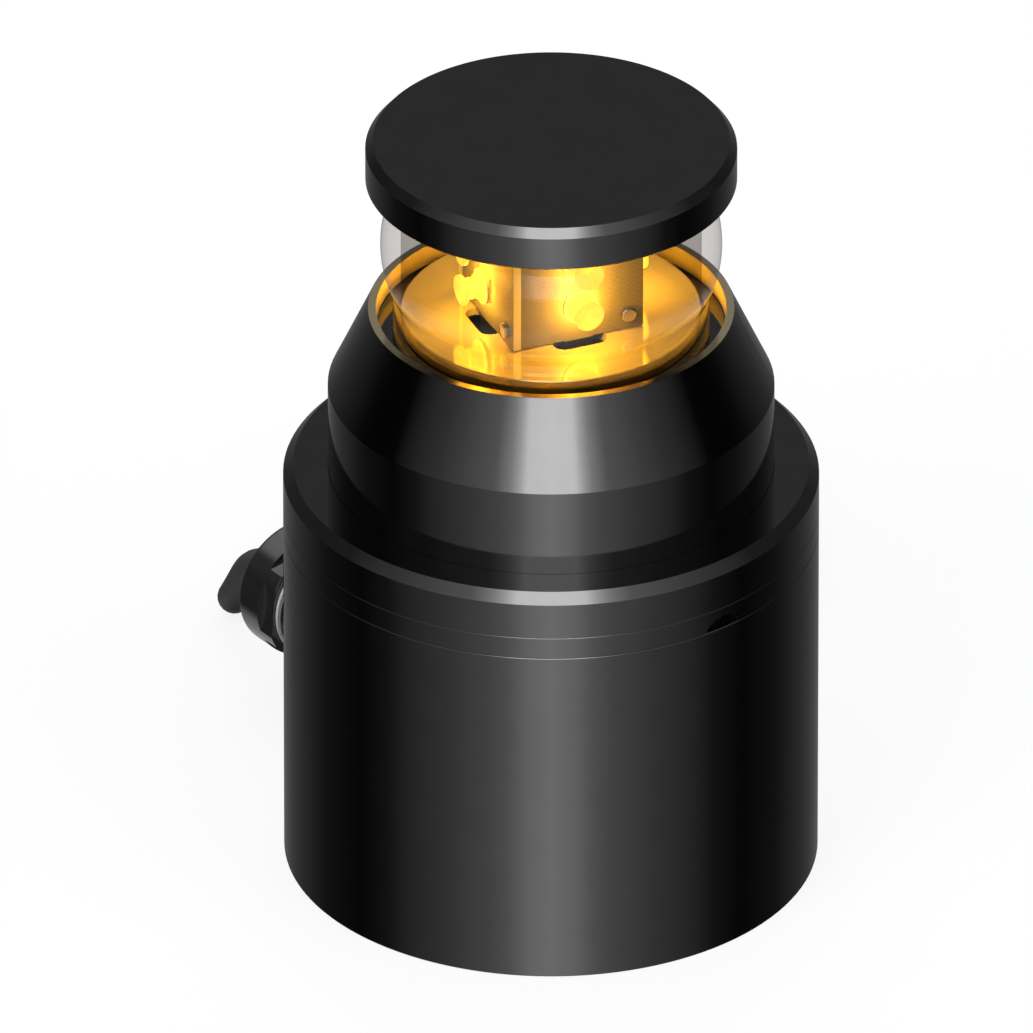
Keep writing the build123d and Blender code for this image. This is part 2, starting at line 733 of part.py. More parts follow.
def gland_o_ring():
    """Pale flat ring round the neck, between the barrel's end and the nut."""
    bore = GLAND_NECK_R + SLIP
    return GLAND_PLANE * tube(GLAND_O_RING_R, bore, GLAND_BARREL_END, GLAND_BARREL_END + GLAND_O_RING_T)


def gland_slip_ring():
    """Captive ring between the nut's end wall and the seal: it travels but doesn't turn."""
    return GLAND_PLANE * tube(GLAND_NECK_R, NUT_MOUTH_R, GLAND_NECK_END, GLAND_NECK_END + GLAND_SLIP_RING_T)


def gland_nut():
    """Round dome nut whose inner half has six wrench flats."""
    bore = GLAND_NECK_R + THREAD_CLEARANCE
    wall = GLAND_NECK_END + GLAND_SLIP_RING_T
    nut = turned(
        (bore + GLAND_EDGE, NUT_INNER),
        (NUT_R, NUT_INNER),
        (NUT_R, NUT_OUTER),
        (NUT_MOUTH_R + NUT_MOUTH_EDGE, NUT_OUTER),
        (NUT_MOUTH_R, NUT_OUTER - NUT_MOUTH_EDGE),
        (NUT_MOUTH_R, wall),
        (bore, wall),
        (bore, NUT_INNER + GLAND_EDGE),
    )
    rim = nut.edges().group_by(Axis.Z)[-1].sort_by(SortBy.RADIUS)[-1]
    nut = fillet(rim, NUT_ROUND)
    around_flats = rod(NUT_R + CUT_PAST, NUT_INNER, NUT_HEX_END)
    around_flats -= Rot(0, 0, NUT_HEX_TURN) * hexagon(NUT_HEX, NUT_INNER, NUT_HEX_END)
    return GLAND_PLANE * (nut - around_flats)


def tube_along(points, radius, radii):
    """A round cord along straight runs joined by tangent arcs."""
    path = FilletPolyline(*points, radius=radii)
    start = Plane(origin=points[0], z_dir=Vector(*points[1]) - Vector(*points[0]))
    return sweep(start * Circle(radius), path=path)


def easy_radii(points):
    """The largest arc at each corner that its two runs allow."""
    radii = []
    for before, corner, after in zip(points, points[1:], points[2:]):
        run_in = Vector(*corner) - Vector(*before)
        run_out = Vector(*after) - Vector(*corner)
        half_turn = radians(run_in.get_angle(run_out)) / 2
        radii.append(RUN_SHARE * min(run_in.length, run_out.length) / tan(half_turn))
    return radii


def inner_cable():
    top = DRIVER_Z - TERMINAL_SIZE[2] - CORE_REACH
    end = gland_place(CABLE_START)
    return tube_along([(0, 0, top), (0, 0, GLAND_Z), end], CABLE_R, [INNER_BEND_R])


def inner_cores():
    """Two cores from the end of the cable's sheath up into the terminals."""
    low = DRIVER_Z - TERMINAL_SIZE[2] - CORE_REACH
    cores = []
    for side in (-1, 1):
        near = side * CORE_SPREAD
        far = side * TERMINAL_SIZE[0] / 4
        route = [
            (near, 0, low),
            (near, 0, low + CORE_STRAIGHT),
            (far, 0, low + CORE_REACH - CORE_STRAIGHT),
            (far, 0, low + CORE_REACH + TERMINAL_DEPTH),
        ]
        cores.append(tube_along(route, CORE_R, [CORE_BEND_R, CORE_BEND_R]))
    return Compound(children=cores)


def cable():
    """The free cable from the gland's mouth down to the floor and on to the coil."""
    route = [gland_place(CABLE_START), gland_place(CABLE_STRAIGHT_END)] + CABLE_ROUTE
    radii = easy_radii(route)
    print("cable bends", [round(r, 1) for r in radii])
    return tube_along(route, CABLE_R, radii)


def coil_section(grown=0.0):
    """The coil's cross-section in the XZ plane, from the coil's own centre line."""
    width = COIL_LAYERS * 2 * CABLE_R + 2 * grown
    height = COIL_ROWS * 2 * CABLE_R + 2 * grown
    middle = COIL_LIFT + COIL_ROWS * CABLE_R
    face = Plane.XZ * RectangleRounded(width, height, CABLE_R)
    return Pos(COIL_MID_R, 0, middle) * face


def cable_coil():
    ring = revolve(coil_section(), Axis.Z)
    return Pos(*COIL_CENTRE, 0) * ring


def cable_tie():
    """A flat strap round the coil's section, with its locking head on the outside."""
    band = extrude(coil_section(COIL_LIFT), TIE_WIDTH / 2, both=True)
    band -= extrude(coil_section(COIL_LIFT - TIE_T), TIE_WIDTH, both=True)
    outside = COIL_MID_R + COIL_LAYERS * CABLE_R + COIL_LIFT
    head = Pos(outside + TIE_HEAD / 4, 0, COIL_LIFT + COIL_ROWS * CABLE_R)
    band += head * Box(TIE_HEAD / 2, TIE_HEAD, TIE_HEAD)
    return Pos(*COIL_CENTRE, 0) * Rot(0, 0, TIE_ANGLE) * band


def cable_tail():
    """The cable's last stretch, from the coil's upper turn down to the floor."""
    radii = easy_radii(TAIL_ROUTE)
    print("tail bends", [round(r, 1) for r in radii])
    return tube_along(TAIL_ROUTE, CABLE_R, radii)


def core_places():
    """Frames at the tail's cut end, one for each core, with Z along the core."""
    end = Vector(*TAIL_ROUTE[-1])
    along = (end - Vector(*TAIL_ROUTE[-2])).normalized()
    side = along.cross(Vector(0, 0, 1)).normalized()
    places = []
    for sign in (-1, 1):
        heading = (along + side * sign * CORE_FAN).normalized()
        places.append(Plane(origin=end + side * sign * CORE_SPREAD, z_dir=heading).location)
    return places


def cable_cores():
    cut = Plane(origin=TAIL_ROUTE[-1], z_dir=Vector(*TAIL_ROUTE[-1]) - Vector(*TAIL_ROUTE[-2]))
    keep = cut.location * Pos(0, 0, CORE_LENGTH) * Box(4 * CABLE_R, 4 * CABLE_R, 2 * CORE_LENGTH)
    cores = [place * rod(CORE_R, -CUT_PAST, CORE_LENGTH) & keep for place in core_places()]
    return Compound(children=cores)


def core_ferrules():
    """A crimped sleeve with a collar on the end of each core."""
    ferrules = []
    for place in core_places():
        collar = rod(FERRULE_R, CORE_LENGTH, CORE_LENGTH + FERRULE_COLLAR)
        pin = rod(FERRULE_PIN_R, CORE_LENGTH, CORE_LENGTH + FERRULE_LENGTH)
        ferrules.append(place * (collar + pin))
    return Compound(children=ferrules)


def main():
    os.makedirs("parts", exist_ok=True)
    nodes = {
        "base_sleeve": base_sleeve(),
        "base_seal_ring": base_seal_ring(),
        "lock_ring": lock_ring(),
        "retaining_collar": retaining_collar(),
        "collar_slip_ring": collar_slip_ring(),
        "head_seal_ring": head_seal_ring(),
        "lamp_housing": lamp_housing(),
        "housing_plug": housing_plug(),
        "housing_plug_seal": housing_plug_seal(),
        "cable_grommet": cable_grommet(),
        "reflector_deck": reflector_deck(),
        "lens_ring": lens_ring(),
        "lens_seal_lower": lens_seal(GROOVE_FLOOR),
        "lens_seal_upper": lens_seal(LENS_TOP),
        "top_cap": top_cap(),
        "heat_sink_column": heat_sink_column(),
        "board_screws": board_screws(),
        "tie_rod": tie_rod(),
        "tie_washer": tie_washer(),
        "tie_nut": tie_nut(),
        "led_leads": led_leads(),
        "driver_board": driver_board(),
        "driver_standoffs": driver_standoffs(),
        "driver_screws": driver_screws(),
        "driver_coils": driver_coils(),
        "driver_capacitors": driver_capacitors(),
        "driver_chips": driver_chips(),
        "terminal_block": terminal_block(),
        "gland_body": gland_body(),
        "gland_washer": gland_washer(),
        "gland_seal": gland_seal(),
        "gland_o_ring": gland_o_ring(),
        "gland_slip_ring": gland_slip_ring(),
        "gland_nut": gland_nut(),
        "inner_cable": inner_cable(),
        "inner_cores": inner_cores(),
        "cable": cable(),
        "cable_coil": cable_coil(),
        "cable_tie": cable_tie(),
        "cable_tail": cable_tail(),
        "cable_cores": cable_cores(),
        "core_ferrules": core_ferrules(),
    }
    for i in range(BOARD_COUNT):
        nodes[f"led_board_{i + 1}"] = led_board(i)
        nodes[f"led_bodies_{i + 1}"] = led_bodies(i)
        nodes[f"led_optics_{i + 1}"] = led_optics(i)
    for name, shape in nodes.items():
        export_step(shape, f"parts/{name}.step")


main()
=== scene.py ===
from math import cos, pi, radians, sin

import bpy
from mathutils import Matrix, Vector


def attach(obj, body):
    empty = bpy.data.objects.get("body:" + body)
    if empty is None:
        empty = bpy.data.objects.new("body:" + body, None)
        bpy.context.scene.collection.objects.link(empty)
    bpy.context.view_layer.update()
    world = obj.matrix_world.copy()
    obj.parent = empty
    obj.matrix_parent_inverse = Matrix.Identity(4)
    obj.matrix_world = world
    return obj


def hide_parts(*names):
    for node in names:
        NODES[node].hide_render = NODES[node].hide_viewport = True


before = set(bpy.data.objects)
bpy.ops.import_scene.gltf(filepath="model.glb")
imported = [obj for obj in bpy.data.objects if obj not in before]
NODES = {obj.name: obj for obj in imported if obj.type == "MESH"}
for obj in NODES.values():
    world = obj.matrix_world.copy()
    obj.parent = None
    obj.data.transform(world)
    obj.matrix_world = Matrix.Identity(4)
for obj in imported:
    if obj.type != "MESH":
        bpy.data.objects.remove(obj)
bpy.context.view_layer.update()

# Metres, in the CAD's frame: +Z up along the light's axis, -Y the front.

MM = 0.001

# The photograph's view: nearly parallel, from 30 degrees above
PHOTO_SIDE_PIXELS = 1033
PIXELS_PER_MM = 6.6985
VIEW_ELEVATION = radians(30)
VIEW_CENTRE = Vector((-0.00516, 0.0, 0.0562))
FOCAL_MM = 1500.0
SENSOR_MM = 36.0
CLIP_END = 50.0

# Free cable, whose listed points are the ones of the CAD's route
CABLE_R = 0.0026
CABLE_ROUND_STEPS = 8
CABLE_POINT_STEPS = 10
GLAND_ANGLE = radians(126.0)
GLAND_Z = 0.0144
CABLE_START = 0.0646
CABLE_STRAIGHT_END = 0.0705
CABLE_ROUTE = [
    (-0.0449, 0.0614, 0.0126),
    (-0.0469, 0.0629, 0.0076),
    (-0.0482, 0.0664, 0.0032),
    (-0.0462, 0.0728, 0.0027),
    (-0.0414, 0.0806, 0.0027),
    (-0.0364, 0.0888, 0.0028),
    (-0.0312, 0.0970, 0.0032),
    (-0.0259, 0.1048, 0.0036),
]
TAIL_ROUTE = [
    (0.0336, 0.0900, 0.0088),
    (0.0337, 0.0820, 0.0086),
    (0.0328, 0.0740, 0.0050),
    (0.0306, 0.0665, 0.0027),
    (0.0265, 0.0600, 0.0027),
]

# Coil: clockwise from where the cable joins it, round to the tail at angle 0
COIL_CENTRE = (0.002, 0.090)
COIL_JOIN_DEGREES = 152.0
COIL_JOIN_ANGLE = radians(COIL_JOIN_DEGREES)
COIL_TURNS = COIL_JOIN_DEGREES / 360 + 3
COIL_POINTS_PER_TURN = 18
COIL_LAYER_STEP = 0.15
COIL_OUTER_TURN_R = 0.0316
COIL_INNER_TURN_R = 0.0264
COIL_LOWER_Z = 0.0036
COIL_UPPER_Z = 0.0088

# LEDs on the four boards of the post
BOARD_ANGLE = radians(-67.3)
BOARD_COUNT = 4
POST_HALF = 0.00925
BOARD_T = 0.0012
LED_HEIGHTS = (0.0061, 0.0129)
LED_GLOW_DEPTH = 0.0022
LED_LAMP_R = 0.001
LED_WATTS = 0.02
DECK_TOP = 0.0922
AMBER = (1.0, 0.58, 0.05)
BOARD_EDGE_COLOUR = (0.60, 0.47, 0.30)
BOARD_EDGE_TURN = radians(60)
# Painted shade: below the deck the board turns near black, as in the shaded slot it stands in
BOARD_SLOT_SHADE_GREY = 0.006

# Lamp housing: only the rim's top and its wall towards the lens are pale metal, whose gold
# colour is painted amber light from the LEDs
RIM_R = 0.0273
RIM_WALL_FROM = 0.0255
RECESS_BOTTOM = 0.0890
EDGE_MARGIN = 0.00002
RIM_PAINTED_AMBER_COLOUR = (1.0, 0.85, 0.55)
PALE_RIM_ROUGHNESS = 0.14
PALE_RIM_WALL_METALLIC = 0.4
WALL_TO_TOP_SPAN = (0.4, 0.6)

# Clear lens: amber tint of the light and diffuse rays that cross it, which tints the LEDs'
# light on its way out and turns the studio's white light inside amber, as painted LED light;
# and the tint of what is mirrored through it
LENS_PAINTED_AMBER_TINT = (0.97, 0.90, 0.66)
LENS_MIRROR_TINT = (0.72, 0.705, 0.69)

# Floor and fill light
FLOOR_SIDE = 4.0
FLOOR_GREY = 0.22
FLOOR_GLOW = 0.84
FILL_LEVEL = 0.45

# The studio in reflections: a softbox in front, black flags at the sides and a grey room
# behind. Each stop is an angle from the front in degrees and the brightness there, set so
# that the black metal has the photograph's bands of light and dark.
SOFTBOX_STOPS = [
    (0, 1.0), (10, 0.95), (13, 0.6), (17, 0.33), (20, 0.24), (24, 0.135), (34, 0.097),
    (41, 0.072), (52, 0.043), (60, 0.033), (69, 0.018), (79, 0.002), (90, 0.0015),
    (110, 0.003), (128, 0.015), (145, 0.025), (180, 0.018),
]
FLOOR_STOPS = [
    (0, 1.0), (10, 0.82), (18, 0.52), (27, 0.36), (36, 0.29), (45, 0.21), (55, 0.16),
    (64, 0.11), (75, 0.04), (90, 0.012), (113, 0.03), (130, 0.07), (158, 0.11), (180, 0.14),
]
SOFTBOX_LEAN = 0.6
SOFTBOX_LEVEL = 4.1
FLOOR_LEVEL = 1.13
NADIR_LEVEL = 0.2
NEAR_GROUND_LEVEL = 0.5
CEILING_LEVEL = 0.07
REAR_PANEL_LEVEL = 0.9

# Where the studio's parts begin and end, by how far a direction points up (1 is overhead,
# -1 straight below), and for the rear panel's sides by how far it points back
HORIZON_SPAN = (-0.06, 0.06)
SOFTBOX_END_SPAN = (0.88, 0.95)
CEILING_SPAN = (0.1, 0.4)
REAR_PANEL_RISE_SPAN = (0.53, 0.63)
REAR_PANEL_BACK_SPAN = (0.2, 0.35)
NEAR_GROUND_SPAN = (-0.54, -0.66)
NEAR_GROUND_END_SPAN = (-0.75, -0.92)
NADIR_SPAN = (-0.62, -0.92)


def gland_point(distance):
    """A point on the gland's axis, at a distance from the light's own axis."""
    return (cos(GLAND_ANGLE) * distance, sin(GLAND_ANGLE) * distance, GLAND_Z)


def board_turn(i):
    """The direction that a board of the LED post faces, counted from 0."""
    return BOARD_ANGLE + i * 2 * pi / BOARD_COUNT


# Camera

def make_camera():
    """Parallel-looking view down on the light, with the photograph's frame."""
    data = bpy.data.cameras.new("photo_view")
    data.lens = FOCAL_MM
    data.sensor_width = SENSOR_MM
    data.clip_end = CLIP_END
    camera = bpy.data.objects.new("photo_view", data)
    bpy.context.scene.collection.objects.link(camera)
    field = PHOTO_SIDE_PIXELS / PIXELS_PER_MM * MM
    distance = field * FOCAL_MM / SENSOR_MM
    back = Vector((0, -cos(VIEW_ELEVATION), sin(VIEW_ELEVATION)))
    camera.location = VIEW_CENTRE + back * distance
    camera.rotation_euler = (pi / 2 - VIEW_ELEVATION, 0, 0)
    bpy.context.scene.camera = camera


# Cable

def smooth_step(value):
    """Eases from 0 to 1 as the value runs from 0 to 1, and stays level outside."""
    clipped = min(max(value, 0.0), 1.0)
    return clipped * clipped * (3 - 2 * clipped)


def coil_points():
    """Turns of the put-away length: lower outer, lower inner, upper inner, upper outer."""
    points = []
    spread = 1 / cos(pi / COIL_POINTS_PER_TURN)
    steps = int(COIL_TURNS * COIL_POINTS_PER_TURN)
    for i in range(1, steps):
        turns = i / COIL_POINTS_PER_TURN
        inward = smooth_step((turns - 1) / COIL_LAYER_STEP + 1)
        upward = smooth_step((turns - 2) / COIL_LAYER_STEP + 1)
        outward = smooth_step((turns - 3) / COIL_LAYER_STEP + 1)
        step = COIL_OUTER_TURN_R - COIL_INNER_TURN_R
        radius = (COIL_OUTER_TURN_R - step * (inward - outward)) * spread
        height = COIL_LOWER_Z + (COIL_UPPER_Z - COIL_LOWER_Z) * upward
        angle = COIL_JOIN_ANGLE - 2 * pi * turns
        points.append((
            COIL_CENTRE[0] + radius * cos(angle),
            COIL_CENTRE[1] + radius * sin(angle),
            height,
        ))
    return points


def make_cable():
    """The whole free cable as one spline, from the gland's mouth to its cut end."""
    exit_point = gland_point(CABLE_START)
    route = [exit_point, gland_point(CABLE_STRAIGHT_END)] + CABLE_ROUTE
    route += coil_points() + TAIL_ROUTE
    curve = bpy.data.curves.new("power_cable", "CURVE")
    curve.dimensions = "3D"
    curve.bevel_depth = CABLE_R
    curve.bevel_resolution = CABLE_ROUND_STEPS
    curve.resolution_u = CABLE_POINT_STEPS
    curve.use_fill_caps = True
    spline = curve.splines.new("NURBS")
    spline.points.add(len(route) - 1)
    for point, place in zip(spline.points, route):
        point.co = (*place, 1.0)
    spline.order_u = 3
    spline.use_endpoint_u = True
    cable = bpy.data.objects.new("power_cable", curve)
    bpy.context.scene.collection.objects.link(cable)
    curve.materials.append(cable_sheath())
    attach(cable, "light")
    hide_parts("cable", "cable_coil", "cable_tail")


# Shader nodes

# Places of a Mix node's two mixed inputs and of its result
MIX_PLACES = {"FLOAT": (2, 3, 0), "RGBA": (6, 7, 2)}


def feed(tree, socket, value):
    """Feeds an input from another node's output, or gives it a fixed value."""
    if isinstance(value, bpy.types.NodeSocket):
        tree.links.new(value, socket)
    else:
        socket.default_value = value


def add(tree, kind, settings=None, values=(), **inputs):
    """A shader node with its settings, its inputs by place and its inputs by name."""
    node = tree.nodes.new("ShaderNode" + kind)
    for key, value in (settings or {}).items():
        setattr(node, key, value)
    for place, value in enumerate(values):
        feed(tree, node.inputs[place], value)
    for key, value in inputs.items():
        feed(tree, node.inputs[key.replace("_", " ")], value)
    return node


def compute(tree, operation, *values):
    """One step of arithmetic on outputs and numbers."""
    return add(tree, "Math", {"operation": operation}, values).outputs[0]


def fade(tree, value, low, high, span=(0.0, 1.0), curve="LINEAR"):
    """Runs from low to high over a span of the value, and stays level outside it."""
    ranged = add(
        tree,
        "MapRange",
        {"interpolation_type": curve},
        Value=value,
        From_Min=span[0],
        From_Max=span[1],
        To_Min=low,
        To_Max=high,
    )
    return ranged.outputs[0]


def mix(tree, factor, low, high, kind="RGBA"):
    """Runs between two colours, or with kind FLOAT between two numbers."""
    low_place, high_place, result_place = MIX_PLACES[kind]
    node = add(tree, "Mix", {"data_type": kind}, Factor=factor)
    feed(tree, node.inputs[low_place], low)
    feed(tree, node.inputs[high_place], high)
    return node.outputs[result_place]


def cover(tree, socket, factor, value, kind="RGBA"):
    """Where the factor is 1, puts a value in place of what an input had before."""
    before = socket.links[0].from_socket if socket.links else socket.default_value
    feed(tree, socket, mix(tree, factor, before, value, kind))


def opaque(colour):
    return (*colour, 1.0)


def grey(value):
    return (value, value, value, 1.0)


def scaled(colour, factor):
    """A darker or lighter colour."""
    return tuple(min(channel * factor, 1.0) for channel in colour)


def principled(name, colour, roughness, metallic=0.0):
    """A material with a Principled shader; returns it with its tree, shader and place."""
    material = bpy.data.materials.new(name)
    material.use_nodes = True
    tree = material.node_tree
    shader = tree.nodes["Principled BSDF"]
    shader.inputs["Base Color"].default_value = opaque(colour)
    shader.inputs["Roughness"].default_value = roughness
    shader.inputs["Metallic"].default_value = metallic
    place = add(tree, "TexCoord").outputs["Object"]
    return material, tree, shader, place


def vary_colour(tree, shader, factor, low, high):
    feed(tree, shader.inputs["Base Color"], mix(tree, factor, opaque(low), opaque(high)))


def vary_roughness(tree, shader, factor, low, high):
    feed(tree, shader.inputs["Roughness"], fade(tree, factor, low, high))


def vary_height(tree, shader, factor, strength, depth):
    bump = add(tree, "Bump", Height=factor, Strength=strength, Distance=depth)
    feed(tree, shader.inputs["Normal"], bump.outputs["Normal"])


def grain(tree, place, scale, detail=4.0, roughness=0.5):
    noise = add(tree, "TexNoise", Vector=place, Scale=scale, Detail=detail, Roughness=roughness)
    return noise.outputs["Fac"]


def rings(tree, place, scale, **inputs):
    """Bands round Z, one above the other."""
    settings = {"wave_type": "BANDS", "bands_direction": "Z"}
    return add(tree, "TexWave", settings, Vector=place, Scale=scale, **inputs).outputs["Fac"]


# Materials

def turned_metal(name, colour, roughness, ring_scale):
    """Lathe-turned metal: fine rings round Z and slight wear in its gloss."""
    material, tree, shader, place = principled(name, colour, roughness, metallic=1.0)
    clouds = grain(tree, place, scale=180.0)
    vary_roughness(tree, shader, clouds, low=roughness * 0.8, high=roughness * 1.25)
    vary_colour(tree, shader, clouds, low=scaled(colour, 0.93), high=scaled(colour, 1.07))
    grooves = rings(tree, place, ring_scale, Distortion=0.6, Detail=2.0)
    vary_height(tree, shader, grooves, strength=0.015, depth=0.00001)
    return material


def black_metal():
    return turned_metal(
        "black_gloss_anodised",
        colour=(0.125, 0.125, 0.127),
        roughness=0.075,
        ring_scale=900.0,
    )


def pale_rim_mask(tree):
    """1 on the rim's top and on its wall to the lens, and 0 on the rest of the housing."""
    place = add(tree, "TexCoord").outputs["Object"]
    x, y, z = add(tree, "SeparateXYZ", Vector=place).outputs
    flat = add(tree, "CombineXYZ", X=x, Y=y).outputs[0]
    reach = add(tree, "VectorMath", {"operation": "LENGTH"}, [flat]).outputs["Value"]
    inside = compute(tree, "LESS_THAN", reach, RIM_R - EDGE_MARGIN)
    outside = compute(tree, "GREATER_THAN", reach, RIM_WALL_FROM)
    above = compute(tree, "GREATER_THAN", z, RECESS_BOTTOM)
    ring = compute(tree, "MULTIPLY", inside, outside)
    return compute(tree, "MULTIPLY", ring, above)


def housing_metal():
    """Black outside and inside, with a pale satin rim whose wall mirrors less than its top;
    the rim's gold colour is painted amber light from the LEDs.
    """
    material = black_metal()
    material.name = "housing_black_with_painted_amber_rim"
    tree = material.node_tree
    shader = tree.nodes["Principled BSDF"]
    bare = pale_rim_mask(tree)
    normal = add(tree, "TexCoord").outputs["Normal"]
    facing_up = add(tree, "SeparateXYZ", Vector=normal).outputs["Z"]
    metallic = fade(tree, facing_up, PALE_RIM_WALL_METALLIC, 1.0, WALL_TO_TOP_SPAN)
    # Painted light: the rim's top and wall take a pale gold colour that stands in for the LEDs'
    # amber light
    cover(tree, shader.inputs["Base Color"], bare, opaque(RIM_PAINTED_AMBER_COLOUR))
    cover(tree, shader.inputs["Roughness"], bare, PALE_RIM_ROUGHNESS, "FLOAT")
    cover(tree, shader.inputs["Metallic"], bare, metallic, "FLOAT")
    return material


def reflector_metal():
    """Satin reflector disc: blurred mirror with a fine grain, its gold tint painted amber
    light.
    """
    # Painted light: the warm gold colour stands in for the amber glow of the LEDs on the deck
    material, tree, shader, place = principled(
        "reflector_satin_painted_amber", colour=(0.88, 0.66, 0.34), roughness=0.1, metallic=0.75
    )
    fine = grain(tree, place, scale=1400.0, detail=2.0)
    vary_roughness(tree, shader, fine, low=0.07, high=0.14)
    vary_height(tree, shader, fine, strength=0.02, depth=0.00001)
    return material


def clear_lens():
    """Clear moulded ring with a glossy skin, plain to look through; the LEDs' light and what
    other
    surfaces mirror go straight through it, and light and diffuse rays turn amber in it:
    painted LED light on the studio's light inside."""
    material, tree, shader, place = principled(
        "lens_clear", colour=(0.85, 0.84, 0.83), roughness=0.0
    )
    shader.inputs["Transmission Weight"].default_value = 1.0
    shader.inputs["IOR"].default_value = 1.0
    shader.inputs["Coat Weight"].default_value = 1.0
    shader.inputs["Coat IOR"].default_value = 1.45
    skin = fade(tree, grain(tree, place, scale=60.0), low=0.01, high=0.05)
    feed(tree, shader.inputs["Coat Roughness"], skin)
    rays = add(tree, "LightPath").outputs
    light = compute(tree, "MAXIMUM", rays["Is Shadow Ray"], rays["Is Diffuse Ray"])
    spared = compute(tree, "MAXIMUM", light, rays["Is Glossy Ray"])
    # Painted light: light and diffuse rays come through amber, so the studio's white light
    # inside looks like LED light
    tint = mix(tree, light, opaque(LENS_MIRROR_TINT), opaque(LENS_PAINTED_AMBER_TINT))
    through = add(tree, "BsdfTransparent", Color=tint)
    surface = add(tree, "MixShader", values=[spared, shader.outputs[0], through.outputs[0]])
    feed(tree, tree.nodes["Material Output"].inputs["Surface"], surface.outputs[0])
    return material


def amber_optic():
    """Lit optic: amber glow with paler swirls, under a clear glossy skin."""
    material, tree, shader, place = principled(
        "optic_lit_amber", colour=(1.0, 0.62, 0.12), roughness=0.12
    )
    swirl = grain(tree, place, scale=900.0, detail=2.0)
    glow = mix(tree, swirl, opaque((1.0, 0.55, 0.03)), opaque((1.0, 0.72, 0.09)))
    feed(tree, shader.inputs["Emission Color"], glow)
    shader.inputs["Emission Strength"].default_value = 1.7
    shader.inputs["Coat Weight"].default_value = 0.5
    vary_roughness(tree, shader, swirl, low=0.08, high=0.18)
    return material


def circuit_board(name, mask, weave):
    """Solder-masked board: glass weave under the mask, and slight gloss."""
    material, tree, shader, place = principled(name, colour=mask, roughness=0.35)
    fine = add(tree, "TexChecker", Vector=place, Scale=2500.0).outputs["Fac"]
    clouds = grain(tree, place, scale=700.0)
    vary_colour(tree, shader, compute(tree, "MULTIPLY", fine, clouds), mask, weave)
    vary_roughness(tree, shader, clouds, low=0.22, high=0.42)
    vary_height(tree, shader, fine, strength=0.02, depth=0.00002)
    return material


def led_circuit_board(turn):
    """Brown board of the LED post, facing a direction: pale cut edges, and painted shade,
    near black, on the tab where it goes down through the deck."""
    material = circuit_board(
        "led_board_brown", mask=(0.14, 0.11, 0.08), weave=(0.20, 0.155, 0.105)
    )
    tree = material.node_tree
    colour = tree.nodes["Principled BSDF"].inputs["Base Color"]
    coord = add(tree, "TexCoord")
    front = (cos(turn), sin(turn), 0.0)
    sides = [coord.outputs["Normal"], front]
    facing = add(tree, "VectorMath", {"operation": "DOT_PRODUCT"}, sides).outputs["Value"]
    cut_edge = compute(tree, "LESS_THAN", facing, cos(BOARD_EDGE_TURN))
    height = add(tree, "SeparateXYZ", Vector=coord.outputs["Object"]).outputs["Z"]
    above = compute(tree, "GREATER_THAN", height, DECK_TOP + EDGE_MARGIN)
    cover(tree, colour, cut_edge, opaque(BOARD_EDGE_COLOUR))
    board = colour.links[0].from_socket
    # Painted shade: near black below the deck top, where the board stands in the deck's shaded
    # slot
    feed(tree, colour, mix(tree, above, grey(BOARD_SLOT_SHADE_GREY), board))
    return material


def moulded(name, colour, roughness, scale=900.0, bump=0.04, **sockets):
    """Moulded plastic or rubber: fine grain in its colour, gloss and height."""
    material, tree, shader, place = principled(name, colour, roughness)
    fine = grain(tree, place, scale)
    vary_colour(tree, shader, fine, low=scaled(colour, 0.85), high=scaled(colour, 1.15))
    vary_roughness(tree, shader, fine, low=roughness * 0.85, high=min(roughness * 1.15, 1.0))
    vary_height(tree, shader, fine, strength=bump, depth=0.00003)
    for socket, value in sockets.items():
        shader.inputs[socket].default_value = value
    return material


def cable_sheath():
    return moulded(
        "cable_sheath_black",
        colour=(0.06, 0.06, 0.061),
        roughness=0.55,
        scale=2500.0,
        bump=0.08,
    )


def gland_plastic():
    return moulded(
        "gland_black_plastic",
        colour=(0.022, 0.022, 0.023),
        roughness=0.14,
        scale=500.0,
        bump=0.01,
        IOR=1.8,
    )


def wound_wire():
    """Varnished copper windings, one fine ridge for each turn."""
    material, tree, shader, place = principled(
        "copper_winding", colour=(0.62, 0.26, 0.10), roughness=0.3, metallic=0.8
    )
    turns = rings(tree, place, scale=600.0)
    vary_height(tree, shader, turns, strength=0.5, depth=0.0001)
    # Painted shade: the colour darkens in the dips between the turns and lightens on the ridges
    vary_colour(tree, shader, turns, low=(0.35, 0.12, 0.05), high=(0.7, 0.32, 0.13))
    return material


